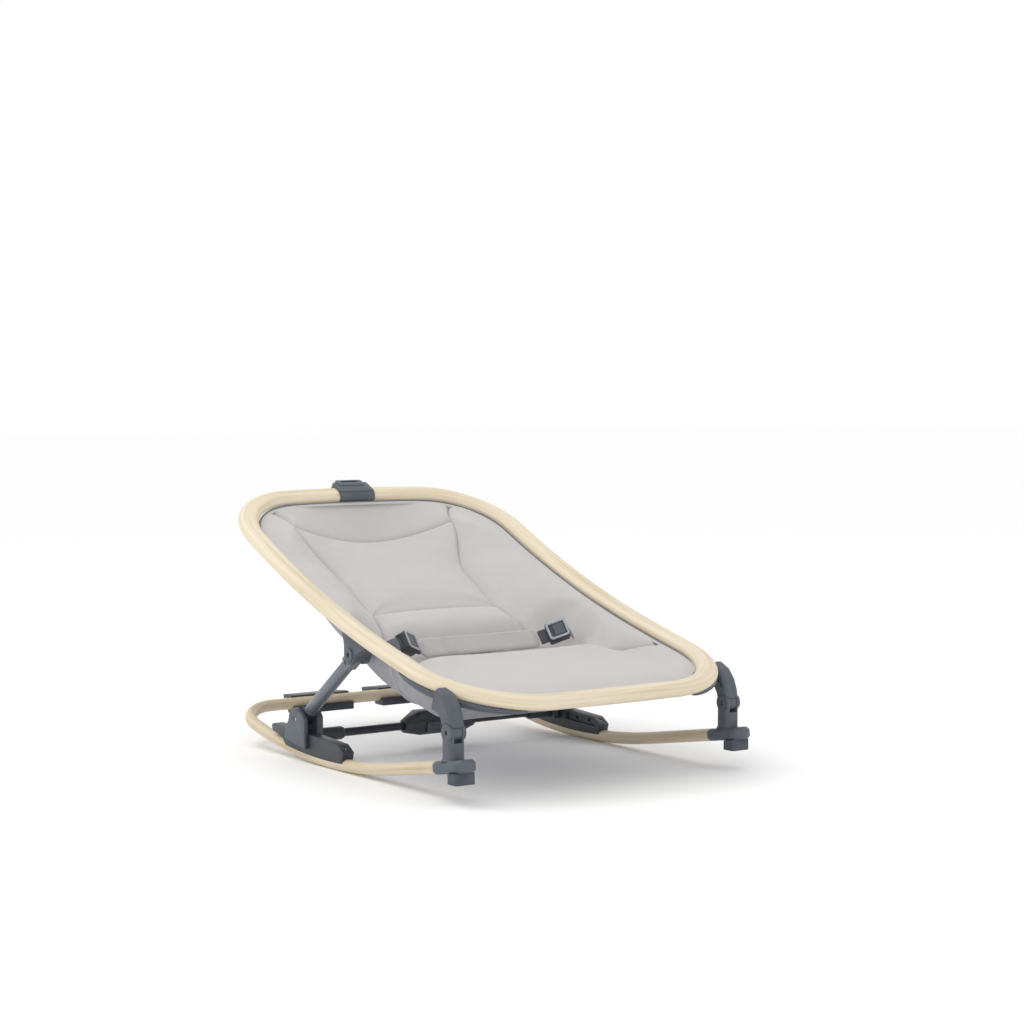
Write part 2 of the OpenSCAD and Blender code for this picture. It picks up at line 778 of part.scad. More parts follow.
pad_gap = 0.5;
s_end = half_len - edge_in - 0.4;
// Seams across the cover, at distances along the ring
seam_head = 259;
seam_lumbar = 69;
seam_hollow = -2;
seam_crest = -88;
// The side bolsters end here, near the head
seam_top = 292;
function seam_x(s) = smooth_table(s, seam_table);
function head_edge(s) = seam_x(s) + (half_width(s, edge_in) - seam_x(s)) * ease((s - seam_top) / 12);

module cover_piece(x1, x2, s1, s2, nu, nv) {
    grid_solid(
        function(u, v) let (s = s1 + (s2 - s1) * v)
            [x1(s) + (x2(s) - x1(s)) * u, s],
        function(x, s) seat_depth(x, s),
        function(x, s) pad_under(x, s),
        nu, nv);
}

module seat_sling() {
    color(fabric_mid)
        placed()
            grid_solid(
                function(u, v) let (s = -s_end * cos(180 * v))
                    [half_width(s, edge_in) * sin(90 * (2 * u - 1)), s],
                function(x, s) sling_over(x, s),
                function(x, s) sling_under(x, s),
                20, 28);
}

module head_pad() {
    color(fabric_light)
        placed()
            cover_piece(function(s) -head_edge(s) + pad_gap, function(s) head_edge(s) - pad_gap,
                seam_head + pad_gap, s_end, 14, 9);
}

module back_pad() {
    color(fabric_light)
        placed()
            cover_piece(function(s) -seam_x(s) + pad_gap, function(s) seam_x(s) - pad_gap,
                seam_lumbar + pad_gap, seam_head - pad_gap, 8, 9);
}

module lumbar_pad() {
    color(fabric_light)
        placed()
            cover_piece(function(s) -seam_x(s) + pad_gap, function(s) seam_x(s) - pad_gap,
                seam_hollow + pad_gap, seam_lumbar - pad_gap, 8, 6);
}

module bolster(right) {
    color(fabric_light)
        side(right)
            cover_piece(function(s) seam_x(s) + pad_gap, function(s) half_width(s, edge_in),
                seam_crest + pad_gap, seam_top, 6, 20);
}

module hollow_pad() {
    color(fabric_light)
        placed()
            cover_piece(function(s) -seam_x(s) + pad_gap, function(s) seam_x(s) - pad_gap,
                seam_crest + pad_gap, seam_hollow - pad_gap, 10, 6);
}

module seat_pad() {
    color(fabric_light)
        placed()
            cover_piece(function(s) -half_width(s, edge_in), function(s) half_width(s, edge_in),
                -s_end, seam_crest - pad_gap, 14, 12);
}

// ---- belt and buckles ----
belt_c = [297, 154];
belt_tilt = 52;
belt_half = 98;
belt_w = 29;

// Draws on the belt's own plane: x across, y up the belt, z out of it
module on_belt() {
    translate([0, belt_c[0], belt_c[1]])
        rotate([belt_tilt, 0, 0])
            children();
}

module belt_panel() {
    color(fabric_light)
        placed()
            on_belt()
                soft_box([-belt_half, -belt_w / 2, -4], [belt_half, belt_w / 2, 4], 8);
}

module crotch_strap() {
    color(fabric_mid)
        placed()
            on_belt()
                translate([-19, -belt_w / 2 + 1, -6.6])
                    cube([38, belt_w - 4, 2.4]);
}

// Each buckle turns up from the belt's end, because the side of the seat rises there
tongue_x = belt_half + 1;
buckle_tilt = 32;
socket_x = 13;
socket_len = 30;
socket_size = [26, 15];

// Draws on the buckle: x out from the belt's end, y up the belt, z out of the buckle's face
module on_buckle() {
    on_belt()
        translate([tongue_x, 0, 0])
            rotate([0, -buckle_tilt, 0])
                children();
}

module buckle_tongue(right) {
    color(charcoal)
        side(right)
            on_buckle() {
                soft_box([1.5, -10, -1.6], [socket_x - 0.5, 10, 1.6], 1.5);
                translate([socket_x - 1, -7, -1.6])
                    cube([9.5, 14, 3.2]);
            }
}

module buckle_socket(right) {
    color(charcoal)
        side(right)
            on_buckle()
                difference() {
                    soft_box([socket_x, -socket_size[0] / 2, -socket_size[1] / 2],
                        [socket_x + socket_len, socket_size[0] / 2, socket_size[1] / 2], 3.5);
                    // Slot for the tongue
                    translate([socket_x - 2, -7.6, -2.2])
                        cube([16, 15.2, 4.4]);
                    // Well for the push button
                    soft_box([socket_x + 9.5, -8.5, 0], [socket_x + 25.5, 8.5, 12], 2);
                    // Slot for the side strap
                    translate([socket_x + socket_len - 4, -10, -4])
                        cube([6, 20, 2.4]);
                }
}

module buckle_button(right) {
    color(slate)
        side(right)
            on_buckle()
                soft_box([socket_x + 9.9, -8.1, 2.9], [socket_x + 25.1, 8.1, socket_size[1] / 2 + 0.6], 1.8);
}

rocker_frame();
lower_leg(false);  // lower_leg_left
lower_leg(true);  // lower_leg_right
foot_block(false);  // foot_block_left
foot_block(true);  // foot_block_right
leg_pin(false);  // leg_pin_left
leg_pin(true);  // leg_pin_right
track(false);  // track_left
track(true);  // track_right
track_screws();
seat_ring();
ring_trim();
head_socket();
upper_leg(false);  // upper_leg_left
upper_leg(true);  // upper_leg_right
strut_bracket(false);  // strut_bracket_left
strut_bracket(true);  // strut_bracket_right
strut_pins();
bracket_screws();
seat_sling();
head_pad();
back_pad();
bolster(false);  // bolster_left
bolster(true);  // bolster_right
lumbar_pad();
hollow_pad();
seat_pad();
belt_panel();
crotch_strap();
buckle_tongue(false);  // buckle_tongue_left
buckle_tongue(true);  // buckle_tongue_right
strut(false);  // strut_left
strut(true);  // strut_right
strut_foot(false);  // strut_foot_left
strut_foot(true);  // strut_foot_right
carriage(false);  // carriage_left
carriage(true);  // carriage_right
carriage_pins();
crossbar();
sleeve(false);  // sleeve_left
sleeve(true);  // sleeve_right
hub_half_shell(true);  // hub_upper
hub_half_shell(false);  // hub_lower
release_handle();
latch_pin(false);  // latch_pin_left
latch_pin(true);  // latch_pin_right
rear_stop(false);  // rear_stop_left
rear_stop(true);  // rear_stop_right
buckle_socket(false);  // buckle_socket_left
buckle_socket(true);  // buckle_socket_right
buckle_button(false);  // buckle_button_left
buckle_button(true);  // buckle_button_right
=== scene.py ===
"""Looks for the baby bouncer: wood-look tubes, moulded slate plastics and a padded cover."""

import json
import math

import bpy
import numpy as np
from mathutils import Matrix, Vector


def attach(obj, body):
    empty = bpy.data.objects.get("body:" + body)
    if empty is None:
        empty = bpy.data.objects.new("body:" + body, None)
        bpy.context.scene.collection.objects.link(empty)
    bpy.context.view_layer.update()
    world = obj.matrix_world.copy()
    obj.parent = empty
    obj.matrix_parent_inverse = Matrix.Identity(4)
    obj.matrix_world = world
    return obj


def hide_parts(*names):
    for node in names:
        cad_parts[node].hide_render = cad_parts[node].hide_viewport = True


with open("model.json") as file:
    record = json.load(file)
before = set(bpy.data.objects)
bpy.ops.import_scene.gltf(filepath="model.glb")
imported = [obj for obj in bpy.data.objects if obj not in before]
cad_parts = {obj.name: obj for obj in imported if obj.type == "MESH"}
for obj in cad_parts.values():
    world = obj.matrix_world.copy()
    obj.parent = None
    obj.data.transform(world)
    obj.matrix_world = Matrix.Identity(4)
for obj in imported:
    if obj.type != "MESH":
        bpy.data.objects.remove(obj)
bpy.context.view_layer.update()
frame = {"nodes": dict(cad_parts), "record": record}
scene = bpy.context.scene

# ---------------------------------------------------------------- sizes, in millimetres
MM = 0.001
PLAN_SHIFT = -316.4          # from the ring's front end to the middle of the plan
HALF_W = 216.6               # ring centrelines, from the middle
RING_LEN = 662.2             # ring length along its own curve
RING_R, RING_T = 14.6, 9.5   # the oval tube's half-width and half-height
HEAD_R, FOOT_R = 111.6, 124.0
HEAD_BOW, FOOT_BOW = 12.4, 4.6
SEAT_SLOPE, BACK_SLOPE = math.radians(15.0), math.radians(25.7)
BEND_S1, BEND_S2 = -135.7, 184.8
RING_FRONT_Y, RING_FRONT_Z = 1.9, 116.7
HALF_LEN = RING_LEN / 2
BEND_R = (BEND_S2 - BEND_S1) / (BACK_SLOPE - SEAT_SLOPE)

RAIL_X, RAIL_R, ROCKER_R = 210.2, 8.3, 890.0
ROCK_Y, REAR_Y, REAR_CORNER_R = 331.0, 593.6, 57.7
RAIL_SLOPE = math.radians(9.2)
RAIL_FRONT_Y, RAIL_SPLAY = 50.0, 6.0

TRIM_R = 2.0
PIPING_R = 1.6                # the cord shows a little thinner than its CAD solid
TRIM_IN = RING_R + TRIM_R + 0.25
EDGE_IN = RING_R + 2 * TRIM_R + 0.8
PAD_T = 16.0
SLING_T = 2.5
HOLLOW = 62.0

SEAM_HEAD, SEAM_LUMBAR, SEAM_HOLLOW, SEAM_CREST = 259.0, 69.0, -2.0, -88.0


# ---------------------------------------------------------------- the ring's curved surface
def slope(s):
    return SEAT_SLOPE + (BACK_SLOPE - SEAT_SLOPE) * np.clip((s - BEND_S1) / (BEND_S2 - BEND_S1), 0, 1)


def profile(s):
    """Height line of the ring: (y, z) at distance s along it, from its middle."""
    s = np.asarray(s, float)
    a = slope(s)
    front = np.minimum(s, BEND_S1) + HALF_LEN
    y = RING_FRONT_Y + front * math.cos(SEAT_SLOPE) + BEND_R * (np.sin(a) - math.sin(SEAT_SLOPE))
    z = RING_FRONT_Z + front * math.sin(SEAT_SLOPE) + BEND_R * (math.cos(SEAT_SLOPE) - np.cos(a))
    back = np.maximum(s - BEND_S2, 0)
    return y + back * math.cos(BACK_SLOPE), z + back * math.sin(BACK_SLOPE)


def surf(x, s, d=0.0):
    """Points at x across, s along and d below the ring's surface, in metres in the row frame."""
    x, s, d = np.broadcast_arrays(np.asarray(x, float), np.asarray(s, float), np.asarray(d, float))
    y, z = profile(s)
    a = slope(s)
    return np.stack([x, y + d * np.sin(a) + PLAN_SHIFT, z - d * np.cos(a)], -1) * MM


def surf_up(s):
    a = slope(np.asarray(s, float))
    return np.stack([np.zeros_like(a), -np.sin(a), np.cos(a)], -1)


def row_point(x, y, z):
    """A point measured from the ring's front end, in metres in the row frame."""
    return np.array([x, y + PLAN_SHIFT, z]) * MM


# ---------------------------------------------------------------- the ring's outline
def end_radius(bow):
    return (HALF_W ** 2 + bow ** 2) / (2 * bow)


def corner(r, bow):
    """(x, s) of the corner circle's centre, the end circle's centre, and the angle where they join."""
    cx, es = HALF_W - r, HALF_LEN - end_radius(bow)
    cs = es + math.sqrt((end_radius(bow) - r) ** 2 - cx ** 2)
    return cx, cs, es, math.asin(cx / (end_radius(bow) - r))


def quarter(r, bow, inward, n_end=20, n_corner=40):
    cx, cs, es, join = corner(r, bow)
    a = np.linspace(0, join, n_end, endpoint=False)
    b = np.linspace(join, math.pi / 2, n_corner)
    big, small = end_radius(bow) - inward, r - inward
    return np.concatenate([np.stack([big * np.sin(a), es + big * np.cos(a)], -1),
                           np.stack([cx + small * np.sin(b), cs + small * np.cos(b)], -1)])


def outline(inward):
    """The closed outline of the ring, moved inwards, as [x, s] points."""
    head, foot = quarter(HEAD_R, HEAD_BOW, inward), quarter(FOOT_R, FOOT_BOW, inward)
    foot[:, 1] *= -1
    side_s = np.linspace(head[-1, 1], foot[-1, 1], 70)[1:-1]
    side = np.stack([np.full_like(side_s, HALF_W - inward), side_s], -1)
    half = np.concatenate([head, side, foot[::-1]])
    other = half[1:-1][::-1] * [-1, 1]
    return np.concatenate([half, other])


def half_width(s, inward):
    s = np.asarray(s, float)
    out = np.zeros_like(s)
    for r, bow, mask in ((HEAD_R, HEAD_BOW, s > 0), (FOOT_R, FOOT_BOW, s <= 0)):
        cx, cs, es, join = corner(r, bow)
        a = np.abs(s)
        meet = cs + (r - inward) * math.cos(join)
        round_x = cx + np.sqrt(np.maximum((r - inward) ** 2 - np.maximum(a - cs, 0) ** 2, 0))
        end_x = np.sqrt(np.maximum((end_radius(bow) - inward) ** 2 - (a - es) ** 2, 0))
        w = np.where(a < cs, HALF_W - inward, np.where(a < meet, round_x, end_x))
        out = np.where(mask, w, out)
    return out


# ---------------------------------------------------------------- the cover's depths
def ease(t):
    c = np.clip(t, 0, 1)
    return c * c * (3 - 2 * c)


def smooth_table(x, table):
    """A smooth curve through a few [position, value] points."""
    x = np.asarray(x, float)
    out = np.full_like(x, table[0][1])
    for (x0, v0), (x1, v1) in zip(table, table[1:]):
        out = np.where(x >= x0, v0 + (v1 - v0) * ease((x - x0) / (x1 - x0)), out)
    return out


CENTRE_DEPTH = [(-HALF_LEN, 3), (-290, 9), (-126, 29), (-88, 38.5), (-44, HOLLOW), (-10, HOLLOW),
                (34, 45), (69, 42), (155, 38), (259, 35), (HALF_LEN, 3)]
SIDE_START = [(-HALF_LEN, 120), (-196, 162), (-16, 148), (69, 100), (155, 86), (259, 0),
              (HALF_LEN, 20)]
SIDE_END = [(-HALF_LEN, 1), (69, 1), (155, 0.97), (259, 0.73), (HALF_LEN, 0.95)]
SEAM_X = [(-HALF_LEN, 120), (-88, 124), (-2, 118), (69, 104), (155, 106), (259, 134), (HALF_LEN, 166)]
SLING_DEPTH = [(-HALF_LEN, 8), (-250, 25), (-166, 85), (-66, 90), (25, 76), (155, 56), (267, 50),
               (HALF_LEN, 10)]


def seat_depth(x, s):
    w = half_width(s, EDGE_IN)
    a = np.minimum(smooth_table(s, SIDE_START), w - 20)
    b = w * smooth_table(s, SIDE_END)
    t = np.clip((np.abs(x) - a) / (b - a), 0, 1)
    bowl = ease((s - 105) / 120)
    return 3 + (smooth_table(s, CENTRE_DEPTH) - 3) * (1 - ease(t) * (1 - bowl) - t ** 2 * bowl)


def pad_under(x, s):
    w = half_width(s, EDGE_IN)
    t = np.minimum(1, np.abs(x) / np.maximum(w, 1))
    e = np.minimum(1, (HALF_LEN - EDGE_IN - np.abs(s)) / 40)
    return seat_depth(x, s) + 3 + (PAD_T - 3) * (1 - t ** 4) * ease(0.15 + np.maximum(0, e))


def sling_over(x, s):
    w = half_width(s, EDGE_IN)
    t = np.minimum(1, np.abs(x) / np.maximum(w, 1))
    return np.maximum(pad_under(x, s) + 3.5, 6 + (smooth_table(s, SLING_DEPTH) - 6) * (1 - t ** 8))


# ---------------------------------------------------------------- mesh making
def new_piece(name, verts, faces, material, body, uvs=None, smooth=True):
    mesh = bpy.data.meshes.new(name)
    mesh.from_pydata([tuple(map(float, v)) for v in verts], [], faces)
    mesh.update()
    if uvs is not None:
        layer = mesh.uv_layers.new(name="UVMap")
        for loop in mesh.loops:
            layer.data[loop.index].uv = uvs[loop.vertex_index]
    for p in mesh.polygons:
        p.use_smooth = smooth
    piece = bpy.data.objects.new(name, mesh)
    scene.collection.objects.link(piece)
    piece.data.materials.append(material)
    if body:
        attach(piece, body)
    return piece


def outward(piece):
    """Turns every face of a closed piece outwards."""
    import bmesh
    bm = bmesh.new()
    bm.from_mesh(piece.data)
    bmesh.ops.recalc_face_normals(bm, faces=bm.faces)
    bm.to_mesh(piece.data)
    bm.free()
    return piece


def sweep(name, path, ups, radii, material, body, sides=24, closed=False, grain=(1, 1)):
    """A tube along path; radii are (sideways, upwards) or one pair per point. UVs are in metres."""
    path, ups = np.asarray(path, float), np.asarray(ups, float)
    n = len(path)
    if closed:
        tangent = np.roll(path, -1, 0) - np.roll(path, 1, 0)
    else:
        tangent = np.gradient(path, axis=0)
    tangent /= np.linalg.norm(tangent, axis=1)[:, None]
    side = np.cross(tangent, ups)
    side /= np.linalg.norm(side, axis=1)[:, None]
    top = np.cross(side, tangent)
    radii = np.broadcast_to(np.asarray(radii, float), (n, 2))
    angles = np.arange(sides) * 2 * math.pi / sides
    rings = (path[:, None]
             + side[:, None] * np.cos(angles)[None, :, None] * radii[:, None, :1]
             + top[:, None] * np.sin(angles)[None, :, None] * radii[:, None, 1:])
    steps = np.linalg.norm(np.diff(path, axis=0, append=path[:1] if closed else path[-1:]), axis=1)
    run = np.concatenate([[0], np.cumsum(steps)[:-1]])
    verts = rings.reshape(-1, 3)
    spans = n if closed else n - 1
    faces = [(i * sides + k, i * sides + (k + 1) % sides,
              (i + 1) % n * sides + (k + 1) % sides, (i + 1) % n * sides + k)
             for i in range(spans) for k in range(sides)]
    if not closed:
        faces += [tuple(range(sides)), tuple((n - 1) * sides + k for k in reversed(range(sides)))]
    uvs = [(run[i] * grain[0], abs(k / sides - 0.5) * 2 * grain[1]) for i in range(n) for k in range(sides)]
    return outward(new_piece(name, verts, faces, material, body, uvs))


def ring_line(inward, depth):
    plan = outline(inward)
    return surf(plan[:, 0], plan[:, 1], depth), surf_up(plan[:, 1])


def box_grid(name, upper, lower, material, body):
    """A closed piece between two grids of points of the same shape."""
    nv, nu = upper.shape[:2]
    count = nu * nv
    verts = np.concatenate([upper.reshape(-1, 3), lower.reshape(-1, 3)])
    faces = []
    for v in range(nv - 1):
        for u in range(nu - 1):
            i = v * nu + u
            faces.append((i, i + 1, i + nu + 1, i + nu))
            faces.append((i + count, i + nu + count, i + nu + 1 + count, i + 1 + count))
    rim = ([u for u in range(nu)] + [v * nu + nu - 1 for v in range(1, nv)]
           + [(nv - 1) * nu + u for u in range(nu - 2, -1, -1)] + [v * nu for v in range(nv - 2, 0, -1)])
    for a, b in zip(rim, rim[1:] + rim[:1]):
        faces.append((a, a + count, b + count, b))
    piece = outward(new_piece(name, verts, faces, material, body))
    return piece, rim, count


# ---------------------------------------------------------------- materials
def node_material(name):
    m = bpy.data.materials.new(name)
    m.use_nodes = True
    return m, m.node_tree, m.node_tree.nodes["Principled BSDF"]


def add(tree, kind, **values):
    node = tree.nodes.new(kind)
    for key, value in values.items():
        if hasattr(node, key):
            setattr(node, key, value)
        else:
            node.inputs[key].default_value = value
    return node


def object_coords(tree, scale=(1, 1, 1), source="Object"):
    coords = tree.nodes.new("ShaderNodeTexCoord")
    mapping = tree.nodes.new("ShaderNodeMapping")
    mapping.inputs["Scale"].default_value = scale
    tree.links.new(coords.outputs[source], mapping.inputs["Vector"])
    return mapping.outputs["Vector"]


def noise(tree, vector, scale, detail=3.0, roughness=0.5):
    node = add(tree, "ShaderNodeTexNoise", Scale=scale, Detail=detail, Roughness=roughness)
    tree.links.new(vector, node.inputs["Vector"])
    return node.outputs["Fac"]


def ramp(tree, value, stops):
    node = tree.nodes.new("ShaderNodeValToRGB")
    while len(node.color_ramp.elements) < len(stops):
        node.color_ramp.elements.new(0.5)
    for element, (place, colour) in zip(node.color_ramp.elements, stops):
        element.position = place
        element.color = (*colour, 1)
    tree.links.new(value, node.inputs["Fac"])
    return node.outputs["Color"]


def bump(tree, shader, height, strength, distance, previous=None):
    node = add(tree, "ShaderNodeBump", Strength=strength, Distance=distance)
    tree.links.new(height, node.inputs["Height"])
    if previous:
        tree.links.new(previous, node.inputs["Normal"])
    tree.links.new(node.outputs["Normal"], shader.inputs["Normal"])
    return node.outputs["Normal"]


def spread(tree, value, low, high):
    node = add(tree, "ShaderNodeMapRange")
    node.inputs["To Min"].default_value = low
    node.inputs["To Max"].default_value = high
    tree.links.new(value, node.inputs["Value"])
    return node.outputs["Result"]


def wood_material(name, dark, mid, light):
    """Printed wood-look wrap: long fine streaks that run along the tube."""
    m, tree, shader = node_material(name)
    long_grain = object_coords(tree, (5, 130, 1), "UV")
    fine_grain = object_coords(tree, (26, 900, 1), "UV")
    broad = noise(tree, long_grain, 1.0, 5, 0.6)
    streak = noise(tree, fine_grain, 1.0, 3, 0.7)
    mix = add(tree, "ShaderNodeMath", operation="MULTIPLY_ADD")
    mix.inputs[1].default_value = 0.35
    tree.links.new(streak, mix.inputs[0])
    tree.links.new(broad, mix.inputs[2])
    tree.links.new(ramp(tree, mix.outputs[0], [(0.46, dark), (0.62, mid), (0.82, light)]),
                   shader.inputs["Base Color"])
    tree.links.new(spread(tree, streak, 0.36, 0.5), shader.inputs["Roughness"])
    shader.inputs["Specular IOR Level"].default_value = 0.4
    shader.inputs["Coat Weight"].default_value = 0.12
    shader.inputs["Coat Roughness"].default_value = 0.3
    bump(tree, shader, streak, 0.12, 0.0004)
    return m


def plastic_material(name, colour, roughness, grain=0.25, gloss=0.5, wear=0.06):
    """Moulded plastic: fine spark texture, slight tone change and paler worn patches."""
    m, tree, shader = node_material(name)
    where = object_coords(tree)
    cloud = noise(tree, where, 34, 4)
    spark = noise(tree, where, 2600, 2)
    pale = tuple(min(1, c * (1 + wear * 3) + wear * 0.05) for c in colour)
    deep = tuple(c * (1 - wear * 2) for c in colour)
    tree.links.new(ramp(tree, cloud, [(0.3, deep), (0.5, colour), (0.75, pale)]), shader.inputs["Base Color"])
    tree.links.new(spread(tree, cloud, roughness - 0.06, roughness + 0.08), shader.inputs["Roughness"])
    shader.inputs["Specular IOR Level"].default_value = gloss
    bump(tree, shader, spark, grain, 0.00012)
    return m


def metal_material(name, colour, roughness, metallic=1.0, along=(40, 40, 900)):
    """Drawn or painted metal: faint lines along the part."""
    m, tree, shader = node_material(name)
    lines = noise(tree, object_coords(tree, along), 1.0, 3)
    deep = tuple(c * 0.88 for c in colour)
    tree.links.new(ramp(tree, lines, [(0.35, deep), (0.65, colour)]), shader.inputs["Base Color"])
    tree.links.new(spread(tree, lines, roughness - 0.05, roughness + 0.07), shader.inputs["Roughness"])
    shader.inputs["Metallic"].default_value = metallic
    bump(tree, shader, lines, 0.06, 0.0002)
    return m


def fabric_material(name, colour, weave_scale=1400, weave_bump=0.35, tone=0.05, ribs=False):
    """Knit or woven cloth: crossed threads, soft mottling and a low sheen."""
    m, tree, shader = node_material(name)
    where = object_coords(tree)
    threads = []
    for turn in ((0, 0, math.radians(45)), (0, 0, math.radians(-45))):
        mapping = tree.nodes.new("ShaderNodeMapping")
        mapping.inputs["Rotation"].default_value = turn
        tree.links.new(where, mapping.inputs["Vector"])
        wave = add(tree, "ShaderNodeTexWave", Scale=weave_scale / (6 if ribs else 1), Distortion=1.5)
        wave.inputs["Detail Scale"].default_value = 1.0
        tree.links.new(mapping.outputs["Vector"], wave.inputs["Vector"])
        threads.append(wave.outputs["Fac"])
    weave = add(tree, "ShaderNodeMath", operation="MAXIMUM")
    tree.links.new(threads[0], weave.inputs[0])
    tree.links.new(threads[1], weave.inputs[1])
    mottle = noise(tree, where, 45, 5)
    fuzz = noise(tree, where, 1800, 2)
    pale = tuple(min(1, c * (1 + tone)) for c in colour)
    deep = tuple(c * (1 - tone) for c in colour)
    base = ramp(tree, mottle, [(0.35, deep), (0.65, pale)])
    shade = add(tree, "ShaderNodeMix", data_type="RGBA", blend_type="MULTIPLY")
    shade.inputs["Factor"].default_value = 0.35
    tree.links.new(base, shade.inputs["A"])
    tree.links.new(ramp(tree, fuzz, [(0.3, (0.82, 0.82, 0.82)), (0.6, (1, 1, 1))]), shade.inputs["B"])
    tree.links.new(shade.outputs["Result"], shader.inputs["Base Color"])
    shader.inputs["Roughness"].default_value = 0.92
    shader.inputs["Specular IOR Level"].default_value = 0.18
    shader.inputs["Sheen Weight"].default_value = 0.25
    shader.inputs["Sheen Roughness"].default_value = 0.45
    first = bump(tree, shader, weave.outputs[0], weave_bump, 0.00025)
    bump(tree, shader, fuzz, weave_bump * 0.6, 0.0003, first)
    return m


WOOD = wood_material("wood_wrap", (0.58, 0.475, 0.315), (0.68, 0.58, 0.42), (0.745, 0.665, 0.51))
WOOD_LOW = wood_material("wood_wrap_base", (0.46, 0.36, 0.23), (0.60, 0.50, 0.35), (0.68, 0.585, 0.43))
SLATE = plastic_material("slate_plastic", (0.072, 0.086, 0.105), 0.44)
SLATE_PALE = plastic_material("slate_pale", (0.33, 0.36, 0.40), 0.4)
CHARCOAL = plastic_material("charcoal_plastic", (0.034, 0.040, 0.050), 0.4)
RUBBER = plastic_material("foot_rubber", (0.068, 0.08, 0.098), 0.62, grain=0.4, gloss=0.3)
BAR = metal_material("bar_paint", (0.035, 0.038, 0.046), 0.28, metallic=0.3, along=(20, 600, 600))
STRUT = metal_material("strut_paint", (0.17, 0.19, 0.22), 0.34, metallic=0.35)
STEEL = metal_material("zinc_steel", (0.62, 0.62, 0.64), 0.3)
COVER = fabric_material("cover_fabric", (0.555, 0.532, 0.525), tone=0.012)
BELT = fabric_material("belt_fabric", (0.50, 0.475, 0.465), weave_scale=900, weave_bump=0.5)
SLING = fabric_material("sling_fabric", (0.36, 0.365, 0.40), weave_scale=700, weave_bump=0.6, tone=0.09)
PIPING = fabric_material("piping_cord", (0.17, 0.18, 0.195), weave_scale=900, weave_bump=0.5)
PALE_PIPING = fabric_material("pale_piping", (0.45, 0.46, 0.49), weave_scale=900)
WEBBING = fabric_material("webbing", (0.16, 0.175, 0.20), weave_scale=500, weave_bump=0.8)
THREAD = fabric_material("thread", (0.50, 0.485, 0.475), weave_scale=2500)

# ---------------------------------------------------------------- camera, light and floor
camera = bpy.data.objects.new("camera", bpy.data.cameras.new("camera"))
scene.collection.objects.link(camera)
camera.location = row_point(-1689.1, -2128.9, 496.8)
camera.rotation_euler = (math.radians(86.8), 0, math.radians(-35.7))
camera.data.lens = 77.34
camera.data.sensor_width = 36
camera.data.clip_end = 60
scene.camera = camera


def area_light(name, place, aim, size, watts, colour=(1, 1, 1)):
    lamp = bpy.data.objects.new(name, bpy.data.lights.new(name, "AREA"))
    scene.collection.objects.link(lamp)
    lamp.location = place
    lamp.rotation_euler = (Vector(aim) - Vector(place)).to_track_quat("-Z", "Y").to_euler()
    lamp.data.shape = "RECTANGLE"
    lamp.data.size, lamp.data.size_y = size
    lamp.data.energy = watts
    lamp.data.color = colour


area_light("key_softbox", (-1.0, 1.1, 2.3), (0, 0, 0.15), (1.6, 1.6), 16, (1.0, 0.99, 0.97))
area_light("fill_softbox", (-2.2, -2.2, 1.3), (0, 0, 0.1), (1.4, 1.2), 5)

world = bpy.data.worlds.new("studio")
scene.world = world
world.use_nodes = True
world.node_tree.nodes["Background"].inputs["Color"].default_value = (1, 1, 1, 1)
world.node_tree.nodes["Background"].inputs["Strength"].default_value = 1.0
scene.view_settings.view_transform = "Standard"

floor_mesh = bpy.data.meshes.new("floor")
FLOOR_HALF = 20
floor_corners = [(i * FLOOR_HALF, j * FLOOR_HALF, 0) for i, j in ((-1, -1), (1, -1), (1, 1), (-1, 1))]
floor_mesh.from_pydata(floor_corners, [], [(0, 1, 2, 3)])
floor = bpy.data.objects.new("floor", floor_mesh)
scene.collection.objects.link(floor)
floor_paint, floor_tree, floor_shader = node_material("studio_floor")
floor_shader.inputs["Base Color"].default_value = (0.985, 0.985, 0.985, 1)
floor_shader.inputs["Roughness"].default_value = 0.8
floor_shader.inputs["Specular IOR Level"].default_value = 0.15
floor.data.materials.append(floor_paint)

# ---------------------------------------------------------------- tubes
line, ups = ring_line(0, 0)
ring = sweep("ring_tube", line, ups, (RING_R * MM, RING_T * MM), WOOD, "seat", 40, True,
             (1, math.pi * RING_R * MM))
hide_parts("seat_ring")

line, ups = ring_line(TRIM_IN - 0.4, 3.4)
trim = sweep("ring_piping", line, ups, (PIPING_R * MM, PIPING_R * MM), PIPING, "seat", 12, True)
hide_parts("ring_trim")

# The cover's bound edge, between its panels and the piping
line, ups = ring_line(RING_R + 4.2, 4.6)
binding = sweep("cover_binding", line, ups, (3.4 * MM, 1.5 * MM), COVER, "seat", 12, True)


def rail_height(y):
    straight = ROCK_Y - ROCKER_R * math.sin(RAIL_SLOPE)
    arc = np.sqrt(ROCKER_R ** 2 - (np.maximum(y, straight) - ROCK_Y) ** 2)
    low = np.where(y < straight,
                   ROCKER_R * math.cos(RAIL_SLOPE) - (straight - y) * math.tan(RAIL_SLOPE), arc)
    return RAIL_R + ROCKER_R - low


